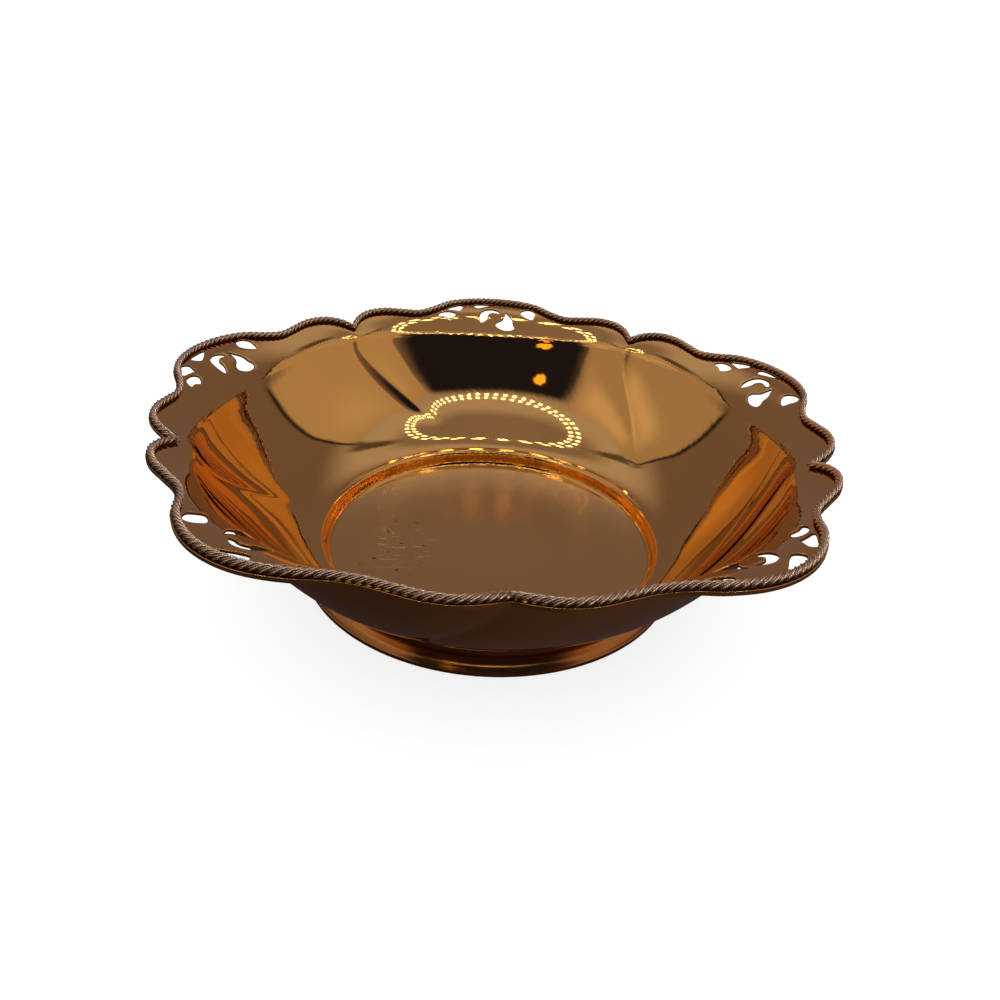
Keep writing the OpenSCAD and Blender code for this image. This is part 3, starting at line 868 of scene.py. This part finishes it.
# Colour, which side, from and to in azimuth, the same in elevation, and the
# softness of both, all in degrees. The left and right ones lean outwards on
# their way up, and those of both sides count the azimuth from straight ahead.
PATCHES = [
    (EDGE_HIGH, "both", (60, 72), (48, 64), 3.0, 4.0),
    (DARK, "left", (-65, -61), (SIDE_LOW, 50), 1.0, 4.0),
    (DARK, "right", (64, 68), (SIDE_LOW, 50), 1.0, 4.0),
    (SIDE_DIM_LEFT, "left", (-133, -63), (SIDE_LOW, 51), 1.0, 3.0),
    (SIDE_BRIGHT_LEFT, "left", (-125, -80), (33, 49), 10.0, 7.0),
    (SIDE_DIM_RIGHT, "right", (66, 128), (SIDE_LOW, 49), 1.0, 3.0),
    (SIDE_BRIGHT_RIGHT, "right", (78, 109), (33, 46), 12.0, 7.0),
    (DARK, "both", (136, 400), (-4, 48), 6.0, 2.0),
]
# The two single lamps: azimuth, elevation, half their width and height.
LAMPS = [(-156.0, 40.8, 3.0, 2.0), (-159.0, 25.0, 4.0, 2.2)]
LAMP_EDGE = (0.7, 1.3)           # where a lamp fades, as the square of the distance
# The ring lamp overhead, on a level plane one unit up: its middle, its two
# radii, its two rows of bulbs and how many bulbs are in a row.
RING_MIDDLE, RING_RADII = (0.02, -0.31), (0.53, 0.51)
RING_ROWS, RING_BULBS, ROW_SHIFTS = (0.95, 1.05), 42, (0.0, 0.6)
BULB_HALF, BULB_SOFT, BULB_LIT = 0.024, 0.014, (0.0, 0.6)
RING_FADE = (0.05, 0.1)          # the ring is cut off near the level


def make_world():
    """A dim studio with soft lights, seen by the metal; pale to all else."""
    world = bpy.data.worlds.new("studio")
    bpy.context.scene.world = world
    world.use_nodes = True
    tree = world.node_tree
    n = Nodes(tree)
    back = tree.nodes["Background"]
    coord = n.new("ShaderNodeTexCoord")
    split = n.new("ShaderNodeSeparateXYZ")
    tree.links.new(coord.outputs["Generated"], split.inputs[0])
    x, y, z = split.outputs
    az = n.math("MULTIPLY", n.math("ARCTAN2", x, y), 180 / math.pi)
    el = n.math("MULTIPLY", n.math("ARCSINE", z), 180 / math.pi)
    below = n.mix(n.ramp(x, -LEFT_TO_RIGHT, LEFT_TO_RIGHT), BELOW_LEFT, BELOW_RIGHT)
    col = n.mix(n.ramp(el, *HORIZON), below, ROOM)
    col = n.mix(n.ramp(el, *ROOM_TURNS), col, ROOM_HIGH)
    col = n.mix(n.ramp(el, *ROOM_ENDS), col, OVERHEAD)

    lean = n.math("MULTIPLY", n.math("SUBTRACT", el, SIDE_LOW), LEAN)
    sides = {"both": n.math("ABSOLUTE", az), "left": n.math("ADD", az, lean),
             "right": n.math("SUBTRACT", az, lean)}
    for colour, side, az_band, el_band, soft_az, soft_el in PATCHES:
        wide = n.band(sides[side], *az_band, soft_az)
        share = n.math("MULTIPLY", wide, n.band(el, *el_band, soft_el))
        col = n.mix(share, col, colour)
    for at_az, at_el, wide, tall in LAMPS:
        across = n.math("DIVIDE", n.math("SUBTRACT", az, at_az), wide)
        upward = n.math("DIVIDE", n.math("SUBTRACT", el, at_el), tall)
        far = n.math("ADD", n.math("MULTIPLY", across, across), n.math("MULTIPLY", upward, upward))
        col = n.mix(n.ramp(far, *LAMP_EDGE, 1.0, 0.0), col, LAMP)

    up = n.math("MAXIMUM", z, RING_FADE[0])
    u = n.math("DIVIDE", n.math("SUBTRACT", n.math("DIVIDE", x, up), RING_MIDDLE[0]), RING_RADII[0])
    v = n.math("DIVIDE", n.math("SUBTRACT", n.math("DIVIDE", y, up), RING_MIDDLE[1]), RING_RADII[1])
    out = n.math("SQRT", n.math("ADD", n.math("MULTIPLY", u, u), n.math("MULTIPLY", v, v)))
    turn = n.math("MULTIPLY", n.math("ARCTAN2", v, u), RING_BULBS)
    for row, shift in zip(RING_ROWS, ROW_SHIFTS):
        on_row = n.band(out, row - BULB_HALF, row + BULB_HALF, BULB_SOFT)
        near = n.math("MULTIPLY", on_row, n.ramp(z, *RING_FADE))
        lit = n.ramp(n.math("COSINE", n.math("ADD", turn, shift)), *BULB_LIT)
        col = n.mix(n.math("MULTIPLY", near, lit), col, BULB)
    path = n.new("ShaderNodeLightPath")
    glossy = path.outputs["Is Glossy Ray"]
    tree.links.new(n.mix(glossy, PALE, col), back.inputs[0])


FLOOR_HALF = 40.0                # half the floor's side, in metres
FLOOR_GREY, FLOOR_GLOW = 0.4, 0.75


def stage():
    """A pale floor that takes the bowl's shadow and doesn't show in the metal."""
    h = FLOOR_HALF
    floor = bpy.data.meshes.new("floor")
    floor.from_pydata([(-h, -h, 0), (h, -h, 0), (h, h, 0), (-h, h, 0)], [], [(0, 1, 2, 3)])
    obj = bpy.data.objects.new("floor", floor)
    bpy.context.scene.collection.objects.link(obj)
    mat = bpy.data.materials.new("floor")
    mat.use_nodes = True
    bsdf = mat.node_tree.nodes["Principled BSDF"]
    bsdf.inputs["Base Color"].default_value = (FLOOR_GREY, FLOOR_GREY, FLOOR_GREY, 1)
    bsdf.inputs["Emission Color"].default_value = (1.0, 1.0, 1.0, 1)
    bsdf.inputs["Emission Strength"].default_value = FLOOR_GLOW
    bsdf.inputs["Roughness"].default_value = 1.0
    bsdf.inputs["Specular IOR Level"].default_value = 0.0
    # The floor has one side only, so that the foot shows from underneath.
    n = Nodes(mat.node_tree)
    through = n.new("ShaderNodeMixShader")
    n.feed(through.inputs[0], n.new("ShaderNodeNewGeometry").outputs["Backfacing"])
    n.feed(through.inputs[1], bsdf.outputs[0])
    n.feed(through.inputs[2], n.new("ShaderNodeBsdfTransparent").outputs[0])
    n.feed(mat.node_tree.nodes["Material Output"].inputs["Surface"], through.outputs[0])
    obj.data.materials.append(mat)
    obj.visible_glossy = False


polished = polished_sheet()
rope_metal = rope_copper()
foot_metal = copper("foot_copper", FOOT_COPPER, FOOT_WAVE, WAVE_SCALE, FOOT_ROUGH)
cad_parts["foot_solder_seam"].data.materials.clear()
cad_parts["foot_solder_seam"].data.materials.append(solder())

sheet = build_sheet()
sheet.data.materials.append(polished)
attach(sheet, "root")
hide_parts("bowl_body")
for k, rope_name in enumerate(ROPE_NAMES):
    rope = build_rope(k, rope_name.replace("rope_border", "twisted_wire"))
    rope.data.materials.append(rope_metal)
    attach(rope, "root")
    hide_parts(rope_name)
foot = build_foot()
foot.data.materials.append(foot_metal)
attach(foot, "root")
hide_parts("foot_ring")
stage()
make_world()
bpy.context.scene.view_settings.view_transform = "Standard"
